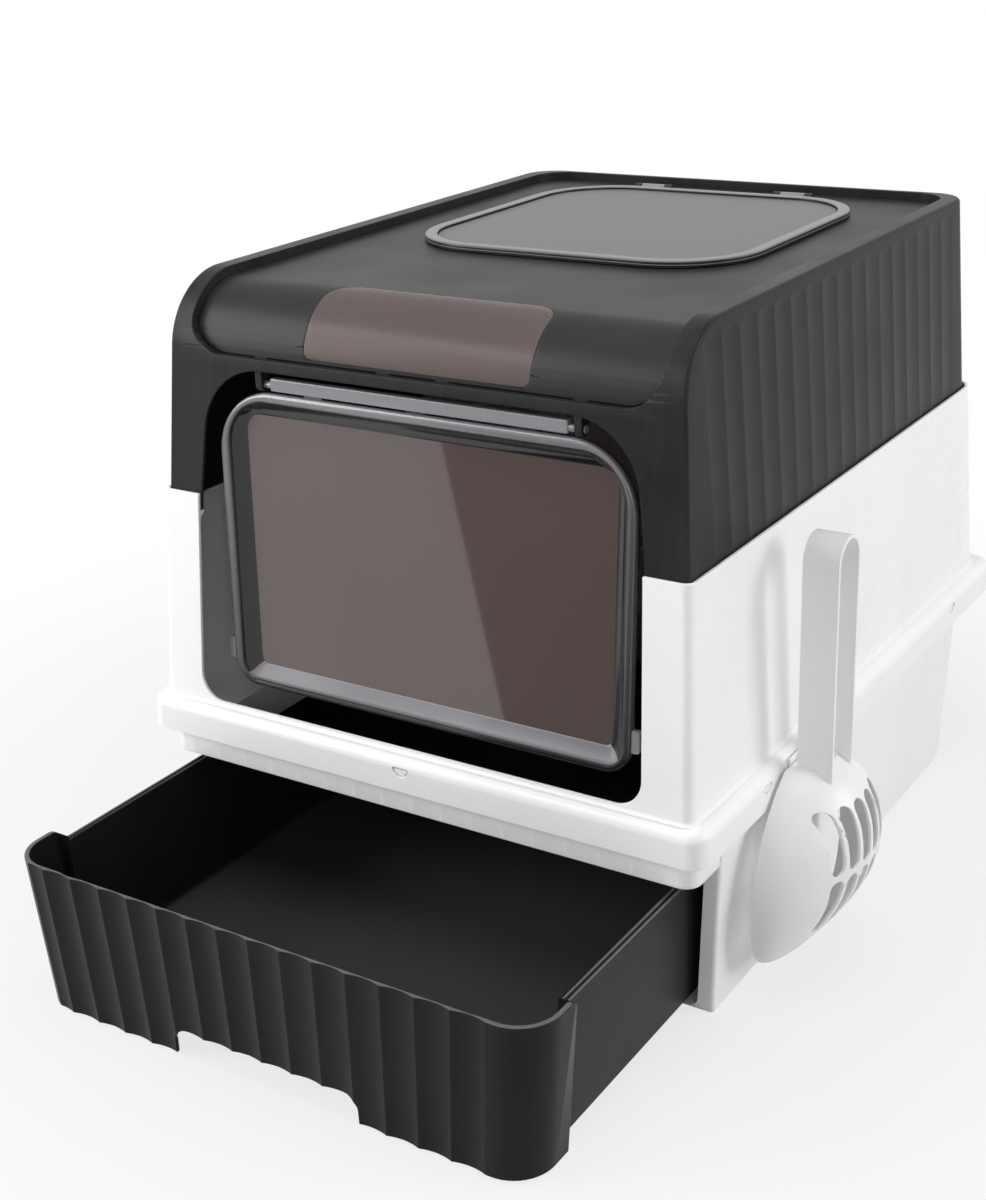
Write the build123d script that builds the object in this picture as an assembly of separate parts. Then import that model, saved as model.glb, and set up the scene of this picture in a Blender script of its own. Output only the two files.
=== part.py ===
# Drawer litter box: a base with a pull-out drawer, a cabin frame, a lift-off cover with a swing flap
# and a roof hatch, and a scoop on a side hook.
# Millimetres, +Z up. The origin is the centre of the base's underside; the door and drawer face -Y.
from build123d import *
import os

# General wall thicknesses and gaps
wall = 2.6
running_gap = 0.3
pin_gap = 0.05

# Cutting shapes end this far out, past everything
reach = 300.0
sky = 480.0

# A drafted box is given by two levels: (z, half width, front y, back y)
frame_top = (304.8, 200.0, -244.4, 244.4)
frame_foot = (156.2, 206.3, -256.4, 256.4)
frame_corners = (7.0, 26.0)          # plan radii at the front and at the back

# Flange round the frame's foot
flange_top_z = 156.2
flange_low_z = 131.0
flange_half_w = 217.1
flange_half_d = 263.6
flange_corner = 13.0

# Inner step round the drawer opening, with a skirt that guides litter down into the tray
step_opening = (182.0, -228.0, 205.0)    # half width, front y, back y
step_corner = 20.0
skirt_low_z = 106.0
skirt_wall = 2.2

# Front valance below the flange, over the drawer
valance_low_z = 110.5
valance_half_w = 207.0
valance_front = -253.6
valance_back = -219.0
valance_corner = 12.0

# Door opening, shared by the frame below and the cover above
door_sill_z = 159.4
door_sill_half_w = 172.3
door_seam_half_w = 168.1
door_top_z = 392.0
door_top_half_w = 157.9
door_low_corner = 18.0
door_top_corner = 48.0
door_cut_back = -205.0               # the cut goes through the front walls only

# Cover
cover_low = (304.8, 196.6, -241.0, 241.0)
cover_high = (447.0, 187.2, -228.4, 239.0)
cover_corners = (8.0, 27.0)
cover_bottom_z = 292.8
cover_ledge = (290.0, 292.5, 3.6)    # low z, high z and depth of the frame's ring that carries it
brow_radius = 49.0                   # front edge of the roof
roof_ceiling = 11.5                  # depth of the solid rim round the roof panel
roof_hole_corner = 18.0
brow_shelf_z = 396.5

# Roof panel, sunk into the cover's top and brow
panel_sink = 6.5
panel_thick = 2.5
panel_half_w = 173.0
panel_low_z = 400.0
panel_back = 232.8
panel_corner = 25.0
panel_lip = 8.5                      # how far the panel rests on the cover's ledge
panel_gap = 0.2
tab_places = (-119.0, -22.0, 22.0, 119.0)
tab_size = (10.0, 3.4)               # width and height

# Front window in the brow
window_half_w = 84.0
window_low_z = 402.5
window_back = -181.0
window_corner = 22.0
window_low_corner = 6.0
window_thick = 1.4
window_lip = 4.0

# Roof hatch
hatch_half_w = 129.5
hatch_front = -62.0
hatch_back = 198.0
hatch_corner = 62.0
hatch_rim_w = 9.0
hatch_rim_high = 5.0
hatch_plate = 2.4
hatch_opening_inset = 12.5
hatch_spigot = (2.0, 3.2)            # wall and depth of the locating ring under the lid
hatch_spigot_gap = 1.5
hatch_ledge = (1.0, 0.8)             # width and height of the ledge under the pane
hatch_axis = (204.0, 443.9)          # y, z
hatch_knuckle_r = 2.8
hatch_pin_r = 1.5
hatch_knuckle_x = (50.0, 70.0)
hatch_ear = (5.7, 6.0)               # width and depth of the ears that hold the pins
hatch_arm = (6.0, 2.6)               # length and height of the arms from the rim to the knuckles

# Door flap, built about its pivot and then leant so that it hangs in balance
flap_pivot = (-225.5, 382.0)         # y, z
flap_lean = 2.9
flap_top_half_w = 158.0
flap_low_half_w = 155.5
flap_top_drop = 5.6
flap_low_drop = 214.0
flap_top_corner = 45.0
flap_low_corner = 20.0
flap_front = -2.4
bead_w = 7.0
bead_deep = 6.0
bezel_skin = 2.4                     # wall of the slope from the bead down to the pane
bezel_back = 9.6
pane_inset = 17.5
pane_low_inset = 13.0
pane_corner = 12.0
pane_lap = 4.0
pane_seat = (7.0, 9.0)
bar_half_w = 111.0
bar_z = (-3.6, 4.8)
bar_y = (-3.0, 3.4)
bar_edge = 2.4
bar_webs = (-80.0, 0.0, 80.0)
bar_web = (14.0, 3.0)                # width and depth of a web between the bar and the bezel
flap_pin_r = 2.5
flap_pin_x = (102.0, 122.4)
bracket_x = (116.4, 121.6)
bracket_r = 4.7
lug_drop = 190.0
lug_size = (5.5, 4.0, 15.0)

# Base
base_top = (131.0, 209.0, -219.0, 221.0)
base_foot = (0.0, 201.9, -216.0, 218.0)
base_corners = (3.0, 28.0)
base_rim = (5.0, 2.4)                # outward rim that the frame's flange covers
base_return = 9.0                    # inward return of each side wall at the front
base_mouth_cut = 30.0
runner_size = (12.0, 400.0, 6.7)
runner_x = 150.0

# Snap clips standing on the base's rim, seen through half-moon windows in the flange
clip_places = (-171.0, 165.0)
clip_size = (18.0, 2.4)
clip_top = 3.0
clip_nose_gap = 0.8
clip_window_r = 6.0
clip_window_z = 148.5

# Drawer at rest, pulled part of the way out
tray_top = (103.5, 189.2, -400.0, 44.0)
tray_foot = (9.6, 186.6, -400.0, 42.0)
tray_corners = (3.0, 24.0)
tray_wall = 2.4
tray_lip = (3.2, 2.4)
front_top = (109.0, 199.1, -423.6, -378.0)
front_foot = (2.0, 190.4, -420.8, -378.0)
front_corners = (27.0, 2.0)
front_wall = 3.6
flute_pitch = 23.9
flute_count = 14
flute_deep = 1.9
flute_land = 1.4                     # flat ridge left between two flutes
front_rim = 3.0                      # plain band above the flutes
toe_z = 30.0                         # where the tray's slanting toe meets the front
toe_back = -386.0
toe_side_gap = 1.5
notch_half_w = 71.0
notch_high = 18.5
notch_corner = 9.0

# Scoop on its hook; the bowl's open side faces the box
scoop_y = -127.0
scoop_rim_x = 219.6
bowl_levels = (                      # z, half width, depth
    (150.5, 26.0, 22.0), (140.0, 40.0, 36.0), (122.0, 56.0, 47.0), (98.0, 67.0, 50.5),
    (72.0, 72.5, 46.0), (48.0, 71.0, 33.0), (30.0, 62.0, 19.0), (21.5, 46.0, 9.0))
bowl_wall = 2.2
slot_w = 11.0
slot_pitch = 14.2
upper_slots = (6, 91.0, 132.5)       # count, low z, high z
lower_slots = (6, 46.0, 87.0)
handle_half_w = 17.0
handle_x = (224.0, 248.0)
handle_low_z = 143.0
handle_bend_z = 288.0
handle_strap = 2.8
slot_reach = (12.0, 72.0)            # x of the slot cutters, from the rim
hook_arm = (22.0, 6.0, 236.0)        # width, height and outer x of the arm inside the bowl
hook_plate = (1.9, 30.0, 17.0)       # depth, width and height of its foot on the flange


# A drafted wall's outline at height z, moved inwards by inset
def level(low, high, z, inset=0.0):
    share = (z - low[0]) / (high[0] - low[0])
    half_w, front, back = (a + share * (b - a) for a, b in zip(low[1:], high[1:]))
    return z, half_w - inset, front + inset, back - inset


def outline(z, half_w, front, back, front_r, back_r):
    sketch = Pos(0, (front + back) / 2) * Rectangle(2 * half_w, back - front)
    sketch = fillet(sketch.vertices().group_by(Axis.Y)[-1], back_r)
    sketch = fillet(sketch.vertices().group_by(Axis.Y)[0], front_r)
    return Pos(0, 0, z) * sketch


def drafted(low, high, z_low, z_high, corners, inset=0.0):
    radii = [max(radius - inset, 0.8) for radius in corners]
    ends = [outline(*level(low, high, z, inset), *radii) for z in (z_low, z_high)]
    return loft(ends, ruled=True)


def upright(half_w, front, back, corner, z_low, z_high):
    return extrude(outline(z_low, half_w, front, back, corner, corner), z_high - z_low)


def block(low, high):
    size = [b - a for a, b in zip(low, high)]
    middle = [(a + b) / 2 for a, b in zip(low, high)]
    return Pos(*middle) * Box(*size)


def rod_x(y, z, x_low, x_high, radius):
    return Pos((x_low + x_high) / 2, y, z) * Rot(0, 90, 0) * Cylinder(radius, x_high - x_low)


# A sketch drawn in X and Z, pushed from y_near back to y_far
def through_y(points, corner_radii, y_near, y_far):
    sketch = make_face(Polyline(*points, close=True))
    for (x, z), radius in corner_radii:
        sketch = fillet(sketch.vertices().sort_by_distance((x, z))[:1], radius)
    return Pos(0, y_near, 0) * extrude(Rot(90, 0, 0) * sketch, -(y_far - y_near), dir=(0, -1, 0))


def door_cutter():
    slope = (door_seam_half_w - door_top_half_w) / (door_top_z - cover_low[0])
    low_half_w = door_sill_half_w
    top_half_w = door_seam_half_w - slope * (door_top_z - cover_low[0])
    points = [(-low_half_w, door_sill_z), (-door_seam_half_w, cover_low[0]), (-top_half_w, door_top_z),
              (top_half_w, door_top_z), (door_seam_half_w, cover_low[0]), (low_half_w, door_sill_z)]
    radii = [(points[0], door_low_corner), (points[5], door_low_corner),
             (points[2], door_top_corner), (points[3], door_top_corner)]
    return through_y(points, radii, -reach, door_cut_back)


# Base: a shallow box, open on top and at the front
def make_base():
    shell = drafted(base_foot, base_top, 0, base_top[0] - running_gap, base_corners)
    shell -= drafted(base_foot, base_top, wall, base_top[0] + 1, base_corners, wall)
    rim_z = base_top[0] - base_rim[1]
    rim = outline(*level(base_foot, base_top, rim_z, -base_rim[0]), base_corners[0], base_corners[1])
    rim = extrude(rim, base_rim[1])
    rim -= drafted(base_foot, base_top, rim_z - 1, base_top[0] + 1, base_corners, wall)
    shell += rim
    mouth_low = base_foot[1] - wall - base_return
    mouth_high = base_top[1] - wall - base_return
    top_z = base_top[0]
    points = [(-mouth_low, wall), (-mouth_high, top_z), (mouth_high, top_z), (mouth_low, wall)]
    shell -= through_y(points, [], -reach, base_foot[2] + base_mouth_cut)
    shell -= block((-reach, -reach, rim_z - 1), (reach, base_top[2], reach))
    return shell


def make_runners():
    width, length, height = runner_size
    return [block((side * runner_x - width / 2, -length / 2, wall),
                  (side * runner_x + width / 2, length / 2, wall + height)) for side in (-1, 1)]


# Cabin frame: a drafted wall on a flange, with an inner step and a litter skirt
def make_frame():
    body = drafted(frame_foot, frame_top, flange_low_z, frame_top[0], frame_corners)
    body -= drafted(frame_foot, frame_top, flange_low_z + wall, frame_top[0] + 1, frame_corners, wall)
    outside = flange_half_w, -flange_half_d, flange_half_d
    flange = upright(*outside, flange_corner, flange_low_z, flange_top_z)
    inside = flange_half_w - wall, -flange_half_d + wall, flange_half_d - wall
    flange -= upright(*inside, flange_corner - wall, flange_low_z - 1, flange_top_z - wall)
    flange -= drafted(frame_foot, frame_top, flange_low_z - 1, flange_top_z + 1, frame_corners, wall)
    body += flange
    low_z, high_z, depth = cover_ledge
    ring = drafted(frame_foot, frame_top, low_z, high_z, frame_corners, wall / 2)
    ring -= drafted(frame_foot, frame_top, low_z - 1, high_z + 1, frame_corners, wall + depth)
    body += ring
    half_w, front, back = step_opening
    body -= upright(half_w, front, back, step_corner, flange_low_z - 1, flange_low_z + 2 * wall)
    skirt = upright(half_w + skirt_wall, front - skirt_wall, back + skirt_wall, step_corner + skirt_wall,
                    skirt_low_z, flange_low_z + wall)
    body += skirt - upright(half_w, front, back, step_corner, skirt_low_z - 1, flange_low_z + 2 * wall)
    valance = upright(valance_half_w, valance_front, -valance_front, valance_corner, valance_low_z,
                      flange_low_z + wall / 2)
    valance -= upright(valance_half_w - wall, valance_front + wall, -valance_front, valance_corner - wall,
                       valance_low_z - 1, flange_low_z + wall)
    body += valance & block((-reach, -reach, 0), (reach, valance_back, reach))
    body -= door_cutter()
    for spot in clip_spots():
        body -= spot * half_moon(clip_window_r, 3 * wall, 0)
    return body


# A rod along X whose upper part, above z_top, is cut away
def half_moon(radius, length, z_top):
    rod = rod_x(0, 0, -length / 2, length / 2, radius)
    return rod & block((-reach, -reach, -reach), (reach, reach, z_top))


# Where the clips sit: a local frame whose +X points out through the flange's face
def clip_spots():
    spots = [Pos(side * flange_half_w, y, clip_window_z) * Rot(0, 0, 0 if side > 0 else 180)
             for side in (-1, 1) for y in clip_places]
    return spots + [Pos(0, side * flange_half_d, clip_window_z) * Rot(0, 0, 90 * side) for side in (-1, 1)]


def make_clips():
    width, thick = clip_size
    tongue_low = base_top[0] - clip_window_z
    clips = []
    for spot in clip_spots():
        tongue = block((-wall - thick, -width / 2, tongue_low), (-wall, width / 2, clip_top))
        nose = half_moon(clip_window_r - clip_nose_gap, wall - clip_nose_gap, -clip_nose_gap)
        clips.append(spot * (tongue + Pos(-(wall + clip_nose_gap) / 2, 0, 0) * nose))
    return clips


# Cover: drafted walls closed by a rim and brow that take the roof panel
def brow_profile(inset, z_low):
    z_top = cover_high[0] - inset
    corners = [level(cover_low, cover_high, z, inset)[2] for z in (z_low, z_top)]
    points = [(corners[0], z_low), (corners[1], z_top), (reach, z_top), (reach, z_low)]
    sketch = make_face(Polyline(*points, close=True))
    sketch = fillet(sketch.vertices().sort_by_distance(points[1])[:1], brow_radius - inset)
    return extrude(Plane.YZ * sketch, reach, both=True)


def roof_limit(half_w, low_z, back, corner):
    points = [(-half_w, sky), (-half_w, low_z), (half_w, low_z), (half_w, sky)]
    front = through_y(points, [(points[1], corner), (points[2], corner)], -reach, reach)
    return front & upright(half_w, -reach - corner, back, corner, low_z - 1, sky)


def make_cover():
    outside = brow_profile(0, cover_bottom_z - 1)
    body = drafted(cover_low, cover_high, cover_bottom_z, cover_high[0], cover_corners) & outside
    hollow = drafted(cover_low, cover_high, cover_bottom_z - 1, cover_high[0], cover_corners, wall)
    room = brow_profile(roof_ceiling, cover_bottom_z - 2)
    room += block((-reach, -reach, 0), (reach, reach, brow_shelf_z))
    body -= hollow & room
    seat = panel_sink + panel_thick
    recess = sheet(-2 * seat, 3 * seat)
    body -= recess & roof_limit(panel_half_w + panel_gap, panel_low_z, panel_back + panel_gap, panel_corner)
    body -= roof_limit(panel_half_w - panel_lip, panel_low_z + panel_lip, panel_back - panel_lip,
                       roof_hole_corner)
    body -= door_cutter()
    for slot in roof_tabs(panel_gap):
        body -= slot
    return body


def hatch_hole(inset, z_low, z_high):
    return upright(hatch_half_w - inset, hatch_front + inset, hatch_back - inset, hatch_corner - inset,
                   z_low, z_high)


def window_limit(margin):
    low_z = window_low_z - margin
    half_w = window_half_w + margin
    radius = window_corner + margin
    points = [(-half_w, sky), (-half_w, low_z), (half_w, low_z), (half_w, sky)]
    low_corners = [(points[1], window_low_corner), (points[2], window_low_corner)]
    front = through_y(points, low_corners, -reach, 0)
    return front & upright(half_w, -reach, window_back + margin, radius, low_z - 1, sky)


def sheet(depth, thick):
    return brow_profile(depth, panel_low_z - 40) - brow_profile(depth + thick, panel_low_z - 50)


def make_roof_panel():
    panel = sheet(panel_sink, panel_thick) & roof_limit(panel_half_w, panel_low_z, panel_back, panel_corner)
    panel -= hatch_hole(hatch_opening_inset, panel_low_z, sky)
    panel -= sheet(panel_sink - window_thick, 2 * window_thick) & window_limit(0)
    panel -= window_limit(-window_lip)
    axis_y, axis_z = hatch_axis
    ear_w, ear_deep = hatch_ear
    ear_foot = cover_high[0] - panel_sink - panel_thick / 2
    for side in (-1, 1):
        for x in (hatch_knuckle_x[0] - ear_w - running_gap, hatch_knuckle_x[1] + running_gap):
            low_x = min(side * x, side * (x + ear_w))
            panel += block((low_x, axis_y - ear_deep / 2, ear_foot),
                           (low_x + ear_w, axis_y + ear_deep / 2, axis_z + hatch_knuckle_r))
    for span in hatch_pin_spans(2 * running_gap):
        panel -= rod_x(*hatch_axis, *span, hatch_pin_r)
    return panel


# From the outside of one ear to the outside of the next, on each side, made longer by margin
def hatch_pin_spans(margin=0.0):
    longer = hatch_ear[0] + running_gap + margin
    return [sorted((side * (hatch_knuckle_x[0] - longer), side * (hatch_knuckle_x[1] + longer)))
            for side in (-1, 1)]


# Snap tabs under the panel's front edge, or the slots that take them
def roof_tabs(margin=0.0):
    width, height = tab_size
    front = level(cover_low, cover_high, panel_low_z, panel_sink)[2]
    return [block((x - width / 2 - margin, front - margin, panel_low_z - height - margin),
                  (x + width / 2 + margin, front + panel_thick + margin, panel_low_z + margin))
            for x in tab_places]


def make_window():
    return sheet(panel_sink, window_thick) & window_limit(0)


def make_hatch_rim():
    low_z = cover_high[0] - panel_sink + running_gap
    rim = hatch_hole(0, low_z, low_z + hatch_rim_high) - hatch_hole(hatch_rim_w, panel_low_z, sky)
    ring_wall, ring_deep = hatch_spigot
    ring_inset = hatch_opening_inset + hatch_spigot_gap
    ledge_w, ledge_high = hatch_ledge
    rim += hatch_hole(ring_inset, low_z - ring_deep, low_z)
    rim += hatch_hole(hatch_rim_w - ledge_w, low_z, low_z + ledge_high)
    rim -= hatch_hole(ring_inset + ring_wall, panel_low_z, sky)
    arm_long, arm_high = hatch_arm
    for side in (-1, 1):
        x_low, x_high = sorted((side * hatch_knuckle_x[0], side * hatch_knuckle_x[1]))
        barrel = rod_x(*hatch_axis, x_low, x_high, hatch_knuckle_r)
        arm = block((x_low, hatch_axis[0] - arm_long - 2, low_z), (x_high, hatch_axis[0], low_z + arm_high))
        rim += barrel + arm - rod_x(*hatch_axis, x_low - 1, x_high + 1, hatch_pin_r + pin_gap)
    return rim


def make_hatch_pane():
    low_z = cover_high[0] - panel_sink + running_gap + hatch_ledge[1]
    return hatch_hole(hatch_rim_w, low_z, low_z + hatch_plate)


def make_hatch_pins():
    return [rod_x(*hatch_axis, *span, hatch_pin_r) for span in hatch_pin_spans()]


# Flap outline in its own X and Z about the pivot
def flap_outline(inset, low_inset, top_r, low_r):
    top, low = -flap_top_drop - inset, -flap_low_drop + low_inset
    points = [(-flap_low_half_w + inset, low), (-flap_top_half_w + inset, top),
              (flap_top_half_w - inset, top), (flap_low_half_w - inset, low)]
    sketch = make_face(Polyline(*points, close=True))
    for spot, radius in ((0, low_r), (1, top_r), (2, top_r), (3, low_r)):
        sketch = fillet(sketch.vertices().sort_by_distance(points[spot])[:1], radius)
    return sketch


def flap_slab(sketch, y_low, y_high):
    return Pos(0, y_low, 0) * extrude(Rot(90, 0, 0) * sketch, -(y_high - y_low), dir=(0, -1, 0))


def flap_funnel(near, far, y_near, y_far):
    ends = [Pos(0, y, 0) * Rot(90, 0, 0) * sketch for y, sketch in ((y_near, near), (y_far, far))]
    return loft(ends, ruled=True)


def hung(piece):
    return Pos(0, *flap_pivot) * Rot(-flap_lean, 0, 0) * piece


def make_flap_bezel():
    outer = flap_outline(0, 0, flap_top_corner, flap_low_corner)
    inner = flap_outline(bead_w, bead_w, flap_top_corner - bead_w, flap_low_corner - bead_w)
    bead_back = flap_front + bead_deep
    bezel = flap_slab(outer, flap_front, bead_back) - flap_slab(inner, flap_front - 1, bead_back + 1)
    slope_front = bead_back - bezel_skin
    slope_edge = bead_w + 0.5
    near = flap_outline(slope_edge, slope_edge, flap_top_corner - slope_edge, flap_low_corner - slope_edge)
    pane = flap_outline(pane_inset, pane_low_inset, pane_corner, pane_corner / 2)
    seat_edge = pane_lap + bezel_skin
    around = flap_outline(pane_inset - seat_edge, pane_low_inset - seat_edge, pane_corner + seat_edge,
                          pane_corner / 2 + seat_edge)
    wide_edge = bead_w - bezel_skin
    wide = flap_outline(wide_edge, wide_edge, flap_top_corner - wide_edge, flap_low_corner - wide_edge)
    bezel += flap_funnel(wide, around, slope_front, bezel_back)
    bezel -= flap_funnel(near, pane, slope_front - 0.5, bezel_back + 0.5)
    bezel -= flap_slab(pane_seat_outline(), pane_seat[0], bezel_back + 1)
    width, deep, height = lug_size
    for side in (-1, 1):
        x_near, x_far = sorted((side * (flap_low_half_w - 1), side * (flap_low_half_w + width)))
        bezel += block((x_near, -1, -lug_drop - height / 2), (x_far, deep - 1, -lug_drop + height / 2))
    return hung(bezel)


def pane_seat_outline():
    return flap_outline(pane_inset - pane_lap, pane_low_inset - pane_lap, pane_corner + pane_lap,
                        pane_corner / 2 + pane_lap)


def make_flap_pane():
    return hung(flap_slab(pane_seat_outline(), *pane_seat))


def make_flap_bar():
    bar = block((-bar_half_w, bar_y[0], bar_z[0]), (bar_half_w, bar_y[1], bar_z[1]))
    bar = fillet(bar.edges().filter_by(Axis.X), bar_edge)
    web_w, web_deep = bar_web
    for x in bar_webs:
        bar += block((x - web_w / 2, 0, -flap_top_drop), (x + web_w / 2, web_deep, bar_z[0] + 1))
    for side in (-1, 1):
        span = sorted((side * flap_pin_x[0], side * (bar_half_w + 1)))
        bar -= rod_x(0, 0, *span, flap_pin_r)
    return hung(bar)


def make_flap_pins():
    return [hung(rod_x(0, 0, *sorted((side * flap_pin_x[0], side * flap_pin_x[1])), flap_pin_r))
            for side in (-1, 1)]


def make_flap_brackets():
    y, z = flap_pivot
    brackets = []
    for side in (-1, 1):
        x_near, x_far = sorted((side * bracket_x[0], side * bracket_x[1]))
        bracket = block((x_near, y - bracket_r, z), (x_far, y + bracket_r, brow_shelf_z))
        bracket += rod_x(y, z, x_near, x_far, bracket_r)
        bracket -= rod_x(y, z, x_near - 1, x_far + 1, flap_pin_r + pin_gap)
        brackets.append(bracket)
    return brackets


# Drawer tray and its fluted front, one moulding
def flute_cutters():
    chord = flute_pitch - flute_land
    radius = (chord ** 2 / 4 + flute_deep ** 2) / (2 * flute_deep)
    top_z = front_top[0] - front_rim
    cutters = []
    for index in range(flute_count):
        place = index - (flute_count - 1) / 2
        ends = []
        for z in (front_foot[0] - 4, top_z):
            _, half_w, front, _ = level(front_foot, front_top, z)
            ends.append(Vector(place * flute_pitch * half_w / front_top[1], front - radius + flute_deep, z))
        axis = ends[1] - ends[0]
        rod = Cylinder(radius, axis.length, align=(Align.CENTER, Align.CENTER, Align.MIN))
        cutters.append(Plane(origin=ends[0], z_dir=axis, x_dir=(1, 0, 0)) * rod)
    return cutters


def make_drawer():
    front = drafted(front_foot, front_top, front_foot[0], front_top[0], front_corners)
    tray = drafted(tray_foot, tray_top, tray_foot[0], tray_top[0], tray_corners)
    lip_z = tray_top[0] - tray_lip[1]
    lip = outline(*level(tray_foot, tray_top, tray_top[0], -tray_lip[0]), *tray_corners)
    body = front + tray + Pos(0, 0, -tray_lip[1]) * extrude(lip, tray_lip[1])
    floor_z = tray_foot[0] + tray_wall
    tray_room = drafted(tray_foot, tray_top, floor_z, front_top[0] + 20, tray_corners, tray_wall)
    front_room = drafted(front_foot, front_top, floor_z, front_top[0] + 1, front_corners, front_wall)
    body -= tray_room + front_room
    toe_front = front_foot[2] + front_wall / 2
    toe = [(toe_back, tray_foot[0]), (toe_front, toe_z), (toe_front, toe_z + 2 * tray_wall),
           (toe_back, floor_z)]
    half_w = front_foot[1] - toe_side_gap
    body += extrude(Plane.YZ * make_face(Polyline(*toe, close=True)), half_w, both=True)
    inner_y = front_foot[2] + front_wall
    under = [(inner_y, -reach), (inner_y, toe_z - tray_wall), (toe_back, tray_foot[0]),
             (reach, tray_foot[0]), (reach, -reach)]
    half_w = front_foot[1] - front_wall
    body -= extrude(Plane.YZ * make_face(Polyline(*under, close=True)), half_w, both=True)
    for cutter in flute_cutters():
        body -= cutter
    notch_z = front_foot[0] + notch_high
    points = [(-notch_half_w, -reach), (-notch_half_w, notch_z),
              (notch_half_w, notch_z), (notch_half_w, -reach)]
    corners = [(points[1], notch_corner), (points[2], notch_corner)]
    body -= through_y(points, corners, 2 * front_foot[2], front_foot[2] + 2 * front_wall)
    return body


# Scoop: a bowl lofted through half ellipses, with slots and a strap handle
def bowl_section(z, half_w, depth):
    arc = EllipticalCenterArc((scoop_rim_x, scoop_y, z), depth, half_w, start_angle=-90, arc_size=180)
    return make_face(arc + Line(arc @ 0, arc @ 1))


def bowl_solid(inset):
    sections = []
    for z, half_w, depth in bowl_levels:
        sections.append(bowl_section(z - inset, half_w - inset, depth - inset))
    return loft(sections)


def make_scoop():
    bowl = bowl_solid(0)
    room = bowl_solid(bowl_wall)
    room += Pos(-0.5, 0, 0) * room
    bowl -= room
    for count, low_z, high_z in (upper_slots, lower_slots):
        for index in range(count):
            y = scoop_y + (index - (count - 1) / 2) * slot_pitch
            slot = SlotOverall(high_z - low_z, slot_w)
            start = Pos(scoop_rim_x + slot_reach[0], y, (low_z + high_z) / 2) * Rot(0, 90, 0)
            bowl -= extrude(start * slot, slot_reach[1])
    outer, inner = handle_half_w, handle_half_w - handle_strap
    loop = handle_band(outer) - handle_band(inner)
    loop -= bowl_solid(bowl_wall / 2)
    return bowl + loop


def handle_band(half_w):
    x_low, x_high = handle_x
    band = block((x_low, scoop_y - half_w, handle_low_z), (x_high, scoop_y + half_w, handle_bend_z))
    return band + rod_x(scoop_y, handle_bend_z, x_low, x_high, half_w)


# The bowl's closed top rests on a flat arm that stands out of the flange
def make_hook():
    arm_w, arm_high, arm_x = hook_arm
    plate_deep, plate_w, plate_high = hook_plate
    top_z = bowl_levels[0][0] - bowl_wall - running_gap
    arm = block((flange_half_w, scoop_y - arm_w / 2, top_z - arm_high), (arm_x, scoop_y + arm_w / 2, top_z))
    middle_z = top_z - arm_high / 2
    plate = block((flange_half_w, scoop_y - plate_w / 2, middle_z - plate_high / 2),
                  (flange_half_w + plate_deep, scoop_y + plate_w / 2, middle_z + plate_high / 2))
    return arm + plate


def save(name, shapes):
    shapes = shapes if isinstance(shapes, list) else [shapes]
    solids = [solid for shape in shapes for solid in shape.solids()]
    whole = solids[0] if len(solids) == 1 else Compound(children=solids)
    export_step(whole, f"parts/{name}.step")


os.makedirs("parts", exist_ok=True)
makers = {
    "base_shell": make_base, "drawer_runners": make_runners, "mid_frame": make_frame,
    "frame_clips": make_clips, "scoop_hook": make_hook, "cover_shell": make_cover,
    "roof_panel": make_roof_panel, "roof_panel_tabs": roof_tabs, "front_window": make_window,
    "hatch_rim": make_hatch_rim, "hatch_pane": make_hatch_pane, "hatch_pins": make_hatch_pins,
    "flap_bezel": make_flap_bezel, "flap_pane": make_flap_pane, "flap_hinge_bar": make_flap_bar,
    "flap_pins": make_flap_pins, "flap_brackets": make_flap_brackets, "drawer_tray": make_drawer,
    "scoop": make_scoop,
}
for node, make in makers.items():
    save(node, make())
    print(node)
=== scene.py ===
from math import atan, cos, radians, sin, sqrt, tan
import bpy
import bmesh
from mathutils import Matrix, Vector
from mathutils.bvhtree import BVHTree


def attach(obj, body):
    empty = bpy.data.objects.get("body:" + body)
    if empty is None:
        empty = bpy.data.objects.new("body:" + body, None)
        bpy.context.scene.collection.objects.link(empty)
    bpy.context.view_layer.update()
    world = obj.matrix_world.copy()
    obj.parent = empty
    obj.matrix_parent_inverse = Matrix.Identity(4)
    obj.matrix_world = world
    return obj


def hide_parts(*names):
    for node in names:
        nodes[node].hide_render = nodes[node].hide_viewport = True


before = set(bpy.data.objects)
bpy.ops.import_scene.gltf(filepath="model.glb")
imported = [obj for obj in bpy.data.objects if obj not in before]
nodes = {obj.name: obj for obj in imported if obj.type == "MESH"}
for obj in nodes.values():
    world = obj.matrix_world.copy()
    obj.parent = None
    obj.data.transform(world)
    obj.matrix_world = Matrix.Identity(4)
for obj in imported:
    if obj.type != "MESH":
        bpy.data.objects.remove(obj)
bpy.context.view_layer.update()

mm = 0.001          # every size below is in millimetres, and becomes metres here
far = 300         # cutting shapes end this far out
below = -5        # and start this far under the floor
square = 0.01       # the radius of a corner that stays sharp
weldGap = 2e-5      # metres: points nearer than this become one before a bevel
strayShare = 0.6    # a point further off the shape than this share of the bevel's width is put back
print("stage: frame loaded")


# Tools for meshes

def addToScene(name, data):
    obj = bpy.data.objects.new(name, data)
    bpy.context.scene.collection.objects.link(obj)
    return obj


def addObject(name, points, faces=((0, 1, 2, 3),)):
    mesh = bpy.data.meshes.new(name)
    mesh.from_pydata([[value * mm for value in point] for point in points], [], faces)
    return addToScene(name, mesh)


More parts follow.
